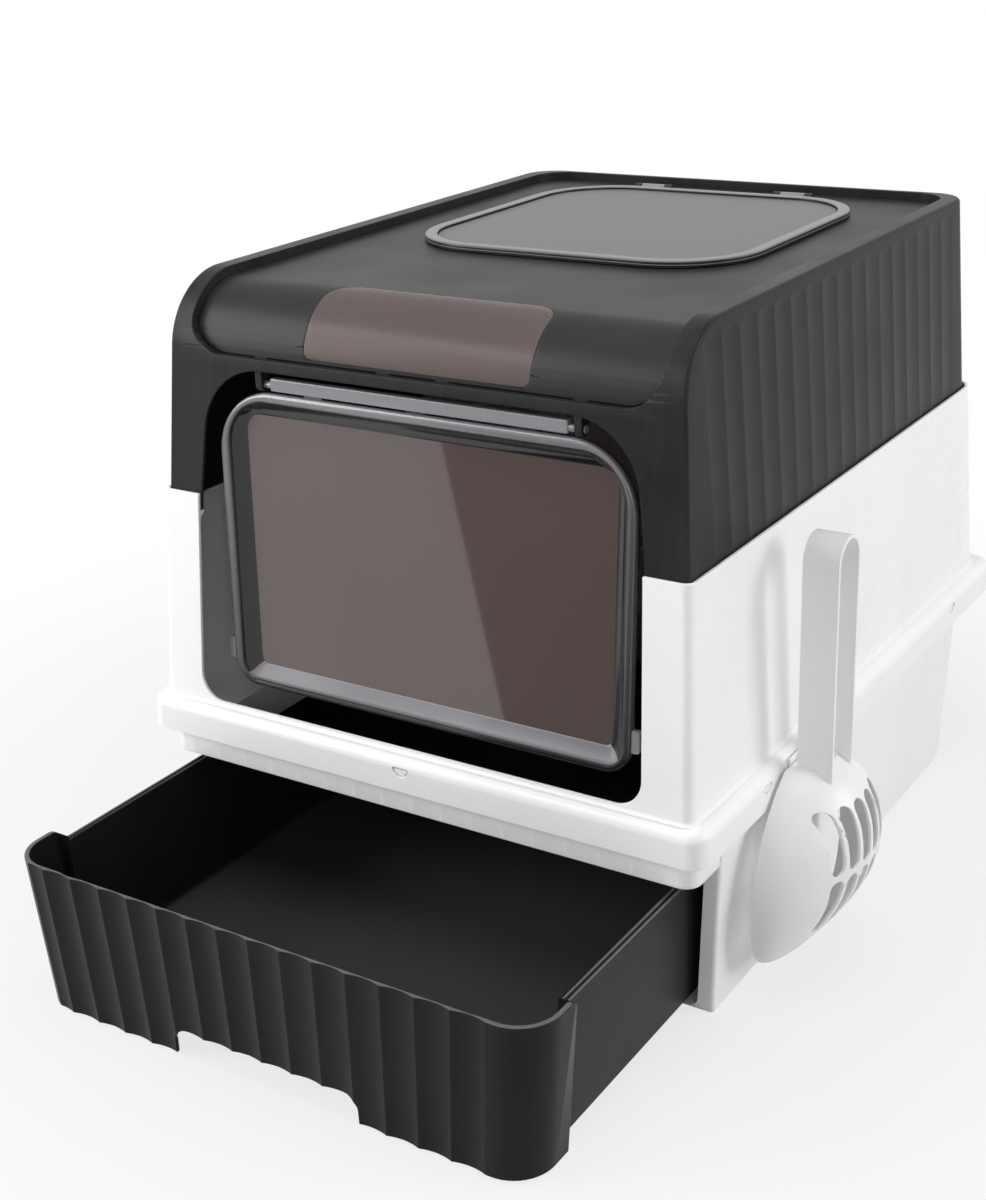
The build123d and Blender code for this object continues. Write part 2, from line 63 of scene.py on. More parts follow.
# Puts an arc in the place of each corner of an outline
def roundCorners(corners, radii, arcCuts=8):
    points = []
    for i, radius in enumerate(radii):
        here = Vector(corners[i])
        before = (Vector(corners[i - 1]) - here).normalized()
        after = (Vector(corners[(i + 1) % len(corners)]) - here).normalized()
        half = before.angle(after) / 2
        middle = here + (before + after).normalized() * radius / sin(half)
        start = here + before * radius / tan(half) - middle
        end = here + after * radius / tan(half) - middle
        total = start.angle(end)
        for k in range(arcCuts + 1):
            t = k / arcCuts
            points.append(middle + (start * sin((1 - t) * total) + end * sin(t * total)) / sin(total))
    return points


# Even steps from start to end
def spread(start, end, steps):
    return [start + (end - start) * k / steps for k in range(steps + 1)]


# The steps of a quarter round: how far each still lacks in one way, and has gone in the other
def quarter(size, steps):
    return [(size * (1 - sin(a)), size * (1 - cos(a))) for a in map(radians, spread(0, 90, steps))]


# Points round (across, up), between two angles in degrees
def arcPoints(across, up, radius, start, end, steps):
    return [(across + radius * cos(a), up + radius * sin(a)) for a in map(radians, spread(start, end, steps))]


def rectangle(left, right, low, high):
    return [(left, low), (right, low), (right, high), (left, high)]


# The low and high end of a span on the given side of the middle
def mirrored(side, near, away):
    return sorted((side * near, side * away))


# A level outline seen from above: front-left, front-right, back-right, back-left corner
def planRing(z, halfW, front, back, frontR, backR, arcCuts=8):
    corners = rectangle(-halfW, halfW, front, back)
    return [(p.x, p.y, z) for p in roundCorners(corners, (frontR, frontR, backR, backR), arcCuts)]


# Joins rings of equal length with quads, closed by two flat ends or, with loop, into a ring of its own
def addClosed(name, rings, loop=False):
    count = len(rings[0])
    points = [point for ring in rings for point in ring]
    faces = []
    for a in range(len(rings) if loop else len(rings) - 1):
        b = (a + 1) % len(rings)
        for i in range(count):
            j = (i + 1) % count
            faces.append((a * count + i, a * count + j, b * count + j, b * count + i))
    if not loop:
        last = (len(rings) - 1) * count
        faces.append(tuple(reversed(range(count))))
        faces.append(tuple(range(last, last + count)))
    obj = addObject(name, points, faces)
    faceOut(obj)
    return obj


# Pushes a closed outline along X, Y or Z
def prism(name, outline, axis, low, high):
    def place(point, depth):
        across, up = point
        return {"x": (depth, across, up), "y": (across, depth, up), "z": (across, up, depth)}[axis]
    return addClosed(name, [[place(p, depth) for p in outline] for depth in (low, high)])


# Merges the points that meet and turns every face outwards
def faceOut(obj, gap=1e-6):
    mesh = bmesh.new()
    mesh.from_mesh(obj.data)
    bmesh.ops.remove_doubles(mesh, verts=mesh.verts, dist=gap)
    bmesh.ops.recalc_face_normals(mesh, faces=mesh.faces)
    mesh.to_mesh(obj.data)
    mesh.free()


# Makes what the modifiers give the object's own mesh
def settle(obj):
    graph = bpy.context.evaluated_depsgraph_get()
    made = bpy.data.meshes.new_from_object(obj.evaluated_get(graph))
    obj.modifiers.clear()
    obj.data = made


# Cuts large hollow faces, such as a flat U, into ones that bulge everywhere, so a bevel leaves them as they are
def splitConcave(obj, corners=20):
    faceOut(obj, weldGap)
    mesh = bmesh.new()
    mesh.from_mesh(obj.data)
    bmesh.ops.connect_verts_concave(mesh, faces=[face for face in mesh.faces if len(face.verts) > corners])
    mesh.to_mesh(obj.data)
    mesh.free()


def carve(obj, cutter, operation="DIFFERENCE"):
    knife = obj.modifiers.new("knife", "BOOLEAN")
    knife.object = cutter
    knife.operation = operation
    knife.solver = "EXACT"
    settle(obj)
    bpy.data.objects.remove(cutter)


# Rounds edges sharper than the angle
def addBevel(obj, width, angle):
    edge = obj.modifiers.new("edge", "BEVEL")
    edge.width = width * mm
    edge.segments = 2
    edge.limit_method = "ANGLE"
    edge.angle_limit = radians(angle)
    return edge


# A bevel in real faces. A point that it throws off the shape goes back onto it
def soften(obj, width, angle=40):
    faceOut(obj, weldGap)
    mesh = obj.data
    before = BVHTree.FromPolygons([v.co.copy() for v in mesh.vertices], [p.vertices[:] for p in mesh.polygons])
    edge = addBevel(obj, width, angle)
    edge.use_clamp_overlap = False
    edge.miter_outer = "MITER_ARC"
    settle(obj)
    for vertex in obj.data.vertices:
        place, _, _, gap = before.find_nearest(vertex.co)
        if gap > strayShare * width * mm:
            vertex.co = place
    smooth(obj)


# Smooth shading in which the large flat faces stay flat
def smooth(obj, angle=32):
    obj.data.shade_smooth()
    obj.data.set_sharp_from_angle(angle=radians(angle))
    weighted = obj.modifiers.new("weighted", "WEIGHTED_NORMAL")
    weighted.keep_sharp = True
    settle(obj)


def joined(name, parts):
    whole = bmesh.new()
    for part in parts:
        whole.from_mesh(part.data)
    mesh = bpy.data.meshes.new(name)
    whole.to_mesh(mesh)
    whole.free()
    for part in parts:
        bpy.data.objects.remove(part)
    return addToScene(name, mesh)


def paint(obj, material):
    obj.data.materials.clear()
    obj.data.materials.append(material)


def dress(obj, body, material, replaced):
    paint(obj, material)
    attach(obj, body)
    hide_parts(replaced)


# (z, half width, front, back) of a drafted wall at height z, moved inwards by inset
def level(low, high, z, inset=0):
    share = (z - low[0]) / (high[0] - low[0])
    halfW, front, back = (a + share * (b - a) for a, b in zip(low[1:], high[1:]))
    return z, halfW - inset, front + inset, back - inset


# Gives the function that makes a drafted wall's ring at a height and a distance inside the wall's face
def wallRings(low, high, corners, arcCuts=8):
    def ring(z, inset=0):
        return planRing(*level(low, high, z, inset), *[max(r - inset, 0.8) for r in corners], arcCuts)
    return ring


# Tools for node trees

class NodeMaker:
    def __init__(self, tree):
        self.tree = tree

    def add(self, kind, inputs=(), **settings):
        node = self.tree.nodes.new(kind)
        for key, value in settings.items():
            setattr(node, key, value)
        for socket, value in (inputs.items() if isinstance(inputs, dict) else enumerate(inputs)):
            if isinstance(value, bpy.types.NodeSocket):
                self.tree.links.new(value, node.inputs[socket])
            else:
                node.inputs[socket].default_value = value
        return node

    # the first output of a new node
    def out(self, kind, inputs=(), **settings):
        return self.add(kind, inputs, **settings).outputs[0]

    def math(self, operation, *inputs):
        return self.out("ShaderNodeMath", inputs, operation=operation)

    def noise(self, place, scale, detail, roughness=0.5):
        return self.out("ShaderNodeTexNoise", {
            "Vector": place, "Scale": scale, "Detail": detail, "Roughness": roughness})

    def remap(self, *values, **settings):
        return self.out("ShaderNodeMapRange", values, **settings)

    def blend(self, share, colour, other):
        return self.add("ShaderNodeMix", {0: share, 6: colour, 7: (*other, 1)}, data_type="RGBA").outputs[2]

    def whiteGlow(self, strength):
        return self.out("ShaderNodeEmission", [(1, 1, 1, 1), strength])

    def objectPlace(self):
        return self.add("ShaderNodeTexCoord").outputs["Object"]

    # 1 for the rays that show the background: the camera's, and those off gloss and through glass
    def backdropRays(self):
        path = self.add("ShaderNodeLightPath").outputs
        return self.math("MAXIMUM", path["Is Camera Ray"],
                         self.math("MAXIMUM", path["Is Glossy Ray"], path["Is Transmission Ray"]))


def emptied(owner):
    owner.use_nodes = True
    owner.node_tree.nodes.clear()
    return NodeMaker(owner.node_tree)


# A row of cutters: copies of the given shape a step apart, drawn together towards the middle as they go down
def makeRowTree():
    tree = bpy.data.node_groups.new("cutter row", "GeometryNodeTree")
    for name, kind in (("Geometry", "Geometry"), ("Count", "Int"), ("Step", "Vector"), ("Start", "Vector"),
                       ("Taper", "Float"), ("Level", "Float"), ("Material", "Material")):
        tree.interface.new_socket(name, in_out="INPUT", socket_type="NodeSocket" + kind)
    tree.interface.new_socket("Geometry", in_out="OUTPUT", socket_type="NodeSocketGeometry")
    make = NodeMaker(tree)
    given = make.add("NodeGroupInput").outputs
    line = make.out("GeometryNodeMeshLine", {
        "Count": given["Count"], "Start Location": given["Start"], "Offset": given["Step"]})
    copies = make.out("GeometryNodeInstanceOnPoints", {"Points": line, "Instance": given["Geometry"]})
    real = make.out("GeometryNodeRealizeInstances", [copies])
    place = make.add("ShaderNodeSeparateXYZ", [make.out("GeometryNodeInputPosition")]).outputs
    down = make.math("SUBTRACT", place[2], given["Level"])
    pull = make.math("MULTIPLY", make.math("MULTIPLY", down, given["Taper"]), place[0])
    move = make.out("ShaderNodeCombineXYZ", [pull])
    drawn = make.out("GeometryNodeSetPosition", {"Geometry": real, "Offset": move})
    done = make.out("GeometryNodeSetMaterial", {"Geometry": drawn, "Material": given["Material"]})
    make.add("NodeGroupOutput", [done])
    return tree


rowTree = makeRowTree()


def repeat(cutter, material, count, step, start=(0, 0, 0), taper=0, height=0):
    step, start = ([value * mm for value in values] for values in (step, start))
    values = {"Count": count, "Step": step, "Start": start, "Taper": taper / mm, "Level": height * mm,
              "Material": material}
    row = cutter.modifiers.new("row", "NODES")
    row.node_group = rowTree
    for item in rowTree.interface.items_tree:
        if item.name in values:
            row[item.identifier] = values[item.name]
    settle(cutter)
    faceOut(cutter)
    return cutter


# One shallow hollow up a wall. wallAt gives the point at a place along, a depth and a height; levels are
# (height, share), where the hollow has its full depth at share 1 and has left the wall at share 0
def hollow(name, wallAt, middle, width, depth, levels, cuts=12):
    clear, behind = 0.3, -6       # how far the cutter leaves the wall, and how far it reaches in front of it
    rings = []
    for z, share in levels:
        out = (1 - share) * (depth + clear)
        ring = [wallAt(middle + width * (k / cuts - 0.5), depth * (1 - (2 * k / cuts - 1) ** 2) - out, z)
                for k in range(cuts + 1)]
        rings.append(ring + [wallAt(middle + side * width / 2, behind - out, z) for side in (1, -1)])
    return addClosed(name, rings)


land = 0.4          # a flute leaves this much of the wall between it and the next


# Carves a row of hollows along X or Y, at the piece's own pitch and depth, round the middle if no first is given
def carveFlutes(obj, piece, wallAt, count, material, first=None, axis="x", cuts=12, **draw):
    pitch = piece["pitch"]
    first = -(count - 1) / 2 * pitch if first is None else first
    cutter = hollow("flutes", wallAt, first, pitch - land, piece["flute"], piece["fluteEnd"], cuts)
    step = (pitch, 0, 0) if axis == "x" else (0, pitch, 0)
    carve(obj, repeat(cutter, material, count, step, **draw))


# How much of a look's second colour shows at each point, from 0 to 1, as painted light or painted shade. Points
# left over get 0
def storePaintedShading(obj, values):
    values += [0] * (len(obj.data.vertices) - len(values))
    obj.data.attributes.new("paintedShading", "FLOAT", "POINT").data.foreach_set("value", values)


# Moulded plastic: a fine grain in the surface, slow changes of gloss, faint flow lines, worn edges, and, where the
# look has a second colour, painted light or painted shade laid on by a point attribute
def mouldedPlastic(name, look, **changes):
    look = dict(look, **changes)
    material = bpy.data.materials.new(name)
    make = emptied(material)
    place = make.objectPlace()
    stretch = make.out("ShaderNodeMapping", {0: place, "Scale": look["flowScale"]})
    flow = make.noise(stretch, 1, 4)
    cloud = make.noise(place, look["cloudScale"], 5)
    grain = make.noise(place, look["grainScale"], 3, 0.7)
    edges = make.add("ShaderNodeNewGeometry").outputs["Pointiness"]
    tone = make.remap(make.math("ADD", cloud, flow), 0.7, 1.3, 0, 1)
    colour = make.blend(tone, (*look["dark"], 1), look["light"])
    colour = make.blend(make.remap(edges, 0.52, 0.6, 0, look["wear"]), colour, look["worn"])
    # a look's second colour is painted light or painted shade, laid where the point attribute says
    if "second" in look:
        paintedShading = make.add("ShaderNodeAttribute", attribute_name="paintedShading").outputs["Fac"]
        colour = make.blend(paintedShading, colour, look["second"])
    mottle = make.math("ADD", make.math("MULTIPLY", cloud, 0.7), make.math("MULTIPLY", grain, 0.3))
    height = make.math("ADD", make.math("MULTIPLY", grain, look["grainHeight"]),
                       make.math("MULTIPLY", flow, look["flowHeight"]))
    bump = make.out("ShaderNodeBump", {"Height": height, "Strength": look["bump"], "Distance": mm})
    shader = make.out("ShaderNodeBsdfPrincipled", {
        "Base Color": colour, "Roughness": make.remap(mottle, 0.35, 0.65, *look["roughness"]), "Normal": bump,
        "IOR": 1.48, "Specular IOR Level": look["specular"], "Metallic": look.get("metallic", 0),
        "Subsurface Weight": look.get("subsurface", 0), "Subsurface Scale": 2 * mm,
        "Coat Weight": look.get("coat", 0), "Coat Roughness": 0.12,
        "Transmission Weight": look.get("transmission", 0)})
    make.add("ShaderNodeOutputMaterial", [shader])
    return material


black = {
    "dark": (0.017, 0.017, 0.0175), "light": (0.025, 0.025, 0.0255), "worn": (0.06, 0.06, 0.06), "wear": 0.5,
    "roughness": (0.3, 0.42), "cloudScale": 14, "grainScale": 2600, "flowScale": (160, 160, 3), "grainHeight": 0.05,
    "flowHeight": 0.05, "bump": 0.5, "specular": 0.08}
coverBlack = mouldedPlastic("coverBlack", black)
roofBlack = mouldedPlastic(
    "roofBlack", black, dark=(0.018, 0.018, 0.0184), light=(0.025, 0.025, 0.0254), roughness=(0.36, 0.46),
    flowScale=(9, 9, 9), specular=0.14)
# The drawer's second colour is painted light: a painted highlight on the rims and a little painted light on the
# tray's floor
drawerBlack = mouldedPlastic(
    "drawerBlack", black, dark=(0.013, 0.013, 0.0134), light=(0.018, 0.018, 0.0184), worn=(0.04, 0.04, 0.04),
    wear=0.2, second=(0.13, 0.13, 0.13), roughness=(0.28, 0.38), flowScale=(9, 9, 4))

white = {
    "dark": (0.83, 0.83, 0.83), "light": (0.88, 0.88, 0.88), "worn": (0.9, 0.9, 0.9), "wear": 0.2,
    "roughness": (0.26, 0.36), "cloudScale": 8, "grainScale": 1800, "flowScale": (14, 14, 2), "grainHeight": 0.02,
    "flowHeight": 0.06, "bump": 0.35, "subsurface": 0.08, "specular": 0.3}
housingWhite = mouldedPlastic("housingWhite", white)
scoopWhite = mouldedPlastic(
    "scoopWhite", white, dark=(0.79, 0.8, 0.8), light=(0.84, 0.85, 0.85), roughness=(0.24, 0.34))

smoke = {
    "dark": (0.098, 0.072, 0.066), "light": (0.108, 0.08, 0.074), "worn": (0.2, 0.19, 0.19), "wear": 0.1,
    "roughness": (0.03, 0.06), "cloudScale": 6, "grainScale": 900, "flowScale": (3, 3, 3), "grainHeight": 0.002,
    "flowHeight": 0.006, "bump": 0.1, "coat": 0.5, "transmission": 0.1, "specular": 0.5}
smokeDoor = mouldedPlastic("smokeDoor", smoke)
# The lid pane is lighter than the other smoke panes, as painted reflection of the bright sky it faces
smokeLidPaintedSheen = mouldedPlastic(
    "smokeLidPaintedSheen", smoke, dark=(0.17, 0.16, 0.153), light=(0.2, 0.19, 0.181), roughness=(0.3, 0.38), coat=0,
    specular=0.05)
smokeWindow = mouldedPlastic(
    "smokeWindow", smoke, dark=(0.12, 0.095, 0.089), light=(0.14, 0.112, 0.105), roughness=(0.24, 0.32), coat=0,
    specular=0.05)
# The frame's colour is lighter than the smoke's, as painted reflection of the bright surroundings on its bead and
# bar; its second colour is painted shade, laid on the parts turned away from the light
frameLook = dict(
    smoke, dark=(0.18, 0.174, 0.187), light=(0.22, 0.213, 0.228), worn=(0.4, 0.385, 0.41), wear=0.5,
    second=(0.012, 0.011, 0.012), roughness=(0.1, 0.18), transmission=0, coat=0.25, specular=0.4)
smokeFrame = mouldedPlastic("smokeFrame", frameLook)
smokeRim = mouldedPlastic("smokeRim", frameLook, roughness=(0.25, 0.35), coat=0, specular=0.2)

steel = {
    "dark": (0.5, 0.5, 0.5), "light": (0.6, 0.6, 0.6), "worn": (0.7, 0.7, 0.7), "wear": 0.3,
    "roughness": (0.25, 0.35), "cloudScale": 60, "grainScale": 3000, "flowScale": (3, 900, 900),
    "grainHeight": 0.02, "flowHeight": 0.05, "bump": 0.4, "specular": 0.5, "metallic": 1}
pinSteel = mouldedPlastic("pinSteel", steel)
print("stage: materials")


# Base: a shallow box, open on top and at the front

# a wall's top and foot, here and below: height, half width, front, back
base = {
    "top": (131, 209, -219, 221), "foot": (0, 201.9, -216, 218), "corners": (3, 28), "wall": 2.6, "rim": (5, 2.4),
    "rimFillet": (1.5, 1), "footEdge": 2.5, "floorEdge": 4, "return": 9, "mouthR": 6, "mouthBack": -186,
    "edge": 0.6}


def makeBase():
    low, high, wall = base["foot"], base["top"], base["wall"]
    ring = wallRings(low, high, base["corners"])
    topZ = high[0]
    rimOut, rimThick = base["rim"]
    filletHigh, filletOut = base["rimFillet"]
    # height and inset, up the outside, over the rim and down the inside
    shape = quarter(base["footEdge"], 4)[::-1]
    shape += [(topZ - rimThick - filletHigh, 0), (topZ - rimThick, -filletOut), (topZ - rimThick, -rimOut),
              (topZ, -rimOut), (topZ, wall)]
    shape += [(wall + z, wall + inset) for z, inset in quarter(base["floorEdge"], 4)]
    obj = addClosed("baseShell", [ring(z, inset) for z, inset in shape])
    lowMouth, highMouth = (size[1] - wall - base["return"] for size in (low, high))
    mouth = [(-lowMouth, wall), (lowMouth, wall), (highMouth, topZ), (-highMouth, topZ)]
    radii = (base["mouthR"], base["mouthR"], square, square)
    carve(obj, prism("mouth", roundCorners(mouth, radii), "y", -far, base["mouthBack"]))
    carve(obj, prism("frontRim", rectangle(-far, far, topZ - rimThick - 1, far), "y", -far, high[2]))
    soften(obj, base["edge"])
    dress(obj, "base", housingWhite, "base_shell")


makeBase()
print("stage: base")


# Cabin frame

door = {
    "sill": (172.3, 159.4), "seam": (168.1, 304.8), "top": (157.9, 392), "lowR": 18, "seamR": 200, "topR": 48,
    "cutBack": -205}


def doorCutter():
    sill, seam, top = (door[key] for key in ("sill", "seam", "top"))
    corners = [(-sill[0], sill[1]), sill, seam, top, (-top[0], top[1]), (-seam[0], seam[1])]
    radii = [door[key] for key in ("lowR", "lowR", "seamR", "topR", "topR", "seamR")]
    return prism("door", roundCorners(corners, radii, 14), "y", -far, door["cutBack"])


cabin = {
    "top": (304.8, 200, -244.4, 244.4), "foot": (156.2, 206.3, -256.4, 256.4), "corners": (7, 26), "wall": 2.6,
    "flange": (217.1, 263.6), "flangeR": 13, "flangeTop": 156.2, "flangeLow": 131, "flangeEdge": 8.5,
    "flangeFillet": 2.6, "rootOut": 0.4, "step": (182, -228, 205), "stepR": 20, "skirtLow": 106, "skirtWall": 2.2,
    "floorFill": 4, "ledge": (290, 292.5, 3.6), "ledgeChamfer": 2, "edge": 0.7}


def stepRing(z, out):
    halfW, front, back = cabin["step"]
    radius = cabin["stepR"] + out
    return planRing(z, halfW + out, front - out, back + out, radius, radius, arcCuts=10)


def flangeRing(z, inset):
    halfW, halfD = cabin["flange"]
    radius = max(cabin["flangeR"] - inset, 1)
    return planRing(z, halfW - inset, -halfD + inset, halfD - inset, radius, radius, arcCuts=10)


cabinRing = wallRings(cabin["foot"], cabin["top"], cabin["corners"], 10)


def makeCabin():
    wall, topZ, flangeZ, lowZ = cabin["wall"], cabin["top"][0], cabin["flangeTop"], cabin["flangeLow"]
    fillet, edge = cabin["flangeFillet"], cabin["flangeEdge"]
    skirtLow, skirtWall, fill = cabin["skirtLow"], cabin["skirtWall"], cabin["floorFill"]
    ledgeLow, ledgeHigh, ledgeDeep = cabin["ledge"]
    floorZ = lowZ + wall
    # down the outside and over the flange
    rings = [cabinRing(topZ), cabinRing(flangeZ + fillet)]
    rings += [cabinRing(flangeZ + z, -out) for z, out in quarter(fillet, 4)[1:]]
    rings += [flangeRing(flangeZ - down, inset) for inset, down in quarter(edge, 5)]
    # under the flange, down the skirt, then up the inside past the ledge
    rings += [flangeRing(z, inset) for z, inset in (
        (lowZ, 0), (lowZ, wall), (flangeZ - wall - edge, wall), (flangeZ - wall, wall + edge))]
    rings += [cabinRing(flangeZ - wall, -cabin["rootOut"]), cabinRing(lowZ)]
    rings += [stepRing(z, out) for z, out in (
        (lowZ, skirtWall), (skirtLow, skirtWall), (skirtLow, 0), (floorZ, 0))]
    rings += [cabinRing(z, wall + inset) for z, inset in (
        (floorZ, fill), (floorZ + fill, 0), (ledgeLow - cabin["ledgeChamfer"], 0), (ledgeLow, ledgeDeep),
        (ledgeHigh, ledgeDeep), (ledgeHigh, 0), (topZ, 0))]
    obj = addClosed("cabinFrame", rings, loop=True)
    carve(obj, doorCutter())
    carveMoons(obj)
    soften(obj, cabin["edge"])
    return obj


clip = {"along": (-171, 165), "radius": 6, "z": 148.5, "depth": 8}


# Half-moon windows over the clips, through the flange's sides and the middle of its front and back
def carveMoons(obj):
    halfW, halfD = cabin["flange"]
    deep = clip["depth"] / 2
    spots = [("x", side * halfW, y) for side in (-1, 1) for y in clip["along"]]
    for axis, depth, middle in spots + [("y", side * halfD, 0) for side in (-1, 1)]:
        outline = arcPoints(middle, clip["z"], clip["radius"], 180, 360, 14)
        carve(obj, prism("moon", outline, axis, depth - deep, depth + deep))


valance = {
    "halfW": 207, "front": -253.6, "back": -219, "corner": 12, "low": 110.5, "top": 132, "wall": 2.6,
    "lowEdge": 2.5, "pitch": 23.5, "flute": 0.35, "flutes": 16,
    "fluteEnd": [(90, 1), (126, 1), (127.5, 0.85), (129, 0.4), (130.5, 0)]}


# A wall round the drawer's opening on three sides
def makeValance():
    wall, low, edge = valance["wall"], valance["low"], valance["lowEdge"]

    def path(inset):
        radius = valance["corner"] - inset
        halfW, front, back = valance["halfW"] - inset, valance["front"] + inset, valance["back"]
        corners = [(halfW, back), (halfW, front), (-halfW, front), (-halfW, back)]
        return roundCorners(corners, (square, radius, radius, square), 10)
    # how far through the wall, and at which height
    shape = [(0, valance["top"]), (0, low + edge), (0.15, low + 0.3 * edge), (0.4, low), (1, low),
             (1, valance["top"])]
    obj = addClosed("valance", [[(*a.lerp(b, t), z) for t, z in shape] for a, b in zip(path(0), path(wall))])
    wallAt = lambda along, deep, z: (along, valance["front"] + deep, z)
    carveFlutes(obj, valance, wallAt, valance["flutes"], housingWhite)
    return obj


cabinObj = joined("cabinFrame", [makeCabin(), makeValance()])
smooth(cabinObj)
dress(cabinObj, "base", housingWhite, "mid_frame")
print("stage: cabin frame")


# Cover: fluted walls closed by a rim and a rounded brow

cover = {
    "low": (304.8, 196.6, -241, 241), "high": (447, 187.2, -228.4, 239), "corners": (6, 27), "bottomZ": 292.8,
    "browR": 49, "wall": 2.6, "ceiling": 11.5, "shelfZ": 396.5, "rimEdge": 2.6, "pitch": 24, "flute": 0.4,
    "firstFlute": -196, "sideFlutes": 17, "backFlutes": 13,
    "fluteEnd": [(280, 1), (435, 1), (436.5, 0.93), (438, 0.75), (439.5, 0.42), (441, 0)], "edge": 0.7}
browLean = atan((cover["high"][2] - cover["low"][2]) / (cover["high"][0] - cover["low"][0]))
browTurn = radians(90) - browLean
browTangent = cover["browR"] * tan(browTurn / 2)
browCentre = (cover["high"][2] + browTangent, cover["high"][0] - cover["browR"])
browArc = cover["browR"] * browTurn


def coverAt(z, inset=0):
    return level(cover["low"], cover["high"], z, inset)


# (y, z) on the roof line, s along it from where the front wall starts to bend, inset towards the inside
def browPoint(s, inset):
    centreY, centreZ = browCentre
    radius = cover["browR"] - inset
    angle = browLean + min(max(s / cover["browR"], 0), browTurn)
    y, z = centreY - radius * cos(angle), centreZ + radius * sin(angle)
    if s < 0:
        return y + s * sin(browLean), z + s * cos(browLean)
    return y + max(s - browArc, 0), z


# A bent sheet over the brow and roof between two depths, with its four corners rounded
def browSheet(name, halfW, start, end, startR, endR, outer, inner, columns=28):
    bends = [bend for _, bend in quarter(1, 10)]
    places = [start + startR * bend for bend in bends] + [end - endR * bend for bend in bends]
    middle = spread(0, browArc, 28) + [browArc + 25 * k for k in range(1, 20)]
    places += [s for s in middle if start + startR < s < end - endR]
    extra = [browArc * (k + 0.5) / 12 for k in range(12)]       # where the bend runs through the first corners
    places += [s for s in extra if start < s < start + startR]

    def width(s):
        for radius, depth in ((startR, s - start), (endR, end - s)):
            if depth < radius:
                return halfW - radius + sqrt(max(radius ** 2 - (radius - depth) ** 2, 0))
        return halfW
    rings = []
    for s in sorted(set(round(s, 4) for s in places)):
        w = width(s)
        xs = spread(-w, w, columns)
        rings.append([(x, *browPoint(s, outer)) for x in xs] + [(x, *browPoint(s, inner)) for x in reversed(xs)])
    return addClosed(name, rings)


panel = {
    "sink": 6.5, "thick": 2.5, "halfW": 173, "start": -2.3, "back": 232.8, "corner": 25, "lip": 8.5, "holeR": 18,
    "gap": 0.5, "edge": 0.6}


def roofPlace(y):
    return browArc + y - browCentre[0]


# The walls, with the back corners and the back rim rounded. Its front stands clear of the real one
def coverBlock():
    low, high = cover["low"], cover["high"]
    clear, clearFront, upright = 0.1, 20, 380
    heights = [(z, 0) for z in (cover["bottomZ"], low[0], upright)]
    heights += [(high[0] + clear - down, inset) for down, inset in quarter(cover["rimEdge"], 6)]
    rings = []
    for z, inset in heights:
        _, halfW, front, back = coverAt(z)
        rings.append(planRing(z, halfW + clear - inset, front - clearFront, back - inset, 1,
                              cover["corners"][1] - inset, arcCuts=14))
    return addClosed("coverShell", rings)


# Front wall, brow and roof as one bent band. Its two long edges are rounded, its ends are flat side walls
def browBand():
    places = [-140, -40, -9] + spread(0, browArc, 34) + [browArc + 520]
    columns = quarter(cover["rimEdge"], 6)
    rings = []
    for side in (-1, 1):
        for inset, inX in columns if side < 0 else reversed(columns):
            points = [browPoint(s, inset) for s in places]
            points.append((points[-1][0], cover["bottomZ"] - 25))
            rings.append([(side * (coverAt(z)[1] - inX), y, z) for y, z in points])
    return addClosed("band", rings)


def makeCover():
    obj = coverBlock()
    carve(obj, browBand(), "INTERSECT")
    for side in (-1, 1):
        wallAt = lambda along, deep, z: (side * (coverAt(z)[1] - deep), along, z)
        carveFlutes(obj, cover, wallAt, cover["sideFlutes"], coverBlack, cover["firstFlute"], "y")
    wallAt = lambda along, deep, z: (along, coverAt(z)[3] - deep, z)
    carveFlutes(obj, cover, wallAt, cover["backFlutes"], coverBlack)
    carve(obj, coverRoom())
    gap, lip, corner, holeR = panel["gap"], panel["lip"], panel["corner"], panel["holeR"]
    start, end, halfW = panel["start"], roofPlace(panel["back"]), panel["halfW"]
    above, seat, through = -12, panel["sink"] + panel["thick"], 20
    carve(obj, browSheet("recess", halfW + gap, start - gap, end + gap, corner, corner, above, seat))
    carve(obj, browSheet("hole", halfW - lip, start + lip, end - lip, holeR, holeR, above, through))
    carve(obj, doorCutter())
    splitConcave(obj)
    soften(obj, cover["edge"], angle=42)
    dress(obj, "cover", coverBlack, "cover_shell")


# The space under the roof and behind the front wall
def coverRoom():
    wall, shelfZ = cover["wall"], cover["shelfZ"]
    corners = [r - wall for r in cover["corners"]]

    def ring(z, front):
        _, halfW, _, back = coverAt(z, wall)
        return planRing(z, halfW, front, back, *corners)
    rings = [ring(z, coverAt(z, wall)[2]) for z in (cover["bottomZ"] - 4, shelfZ)]
    radius = cover["browR"] - cover["ceiling"]
    rings.append(ring(shelfZ + 0.5, browCentre[0] - radius))
    rings += [ring(z, y) for y, z in arcPoints(*browCentre, radius, 180, 90, 12)]
    return addClosed("room", rings)


makeCover()
print("stage: cover")


# Roof panel with its front window and hatch

window = {
    "halfW": 84, "start": 0.6, "back": -181, "lowR": 6, "topR": 22, "thick": 1.4, "lip": 4, "gap": 0.15,
    "edge": 0.35}
hatch = {
    "halfW": 129.5, "front": -62, "back": 198, "corner": 62, "holeInset": 12.5, "holeZ": (420, 470), "lowZ": 440.8,
    "axis": (204, 443.9), "knuckleR": 2.8, "knuckleX": (50, 70), "ear": (5.7, 6), "earLow": 439, "earR": 2.6,
    "armHigh": 2.6, "armRoot": 3, "gap": 0.3, "pane": ((0.85, 9.1), (2.6, 9.1), (3.1, 9.8))}
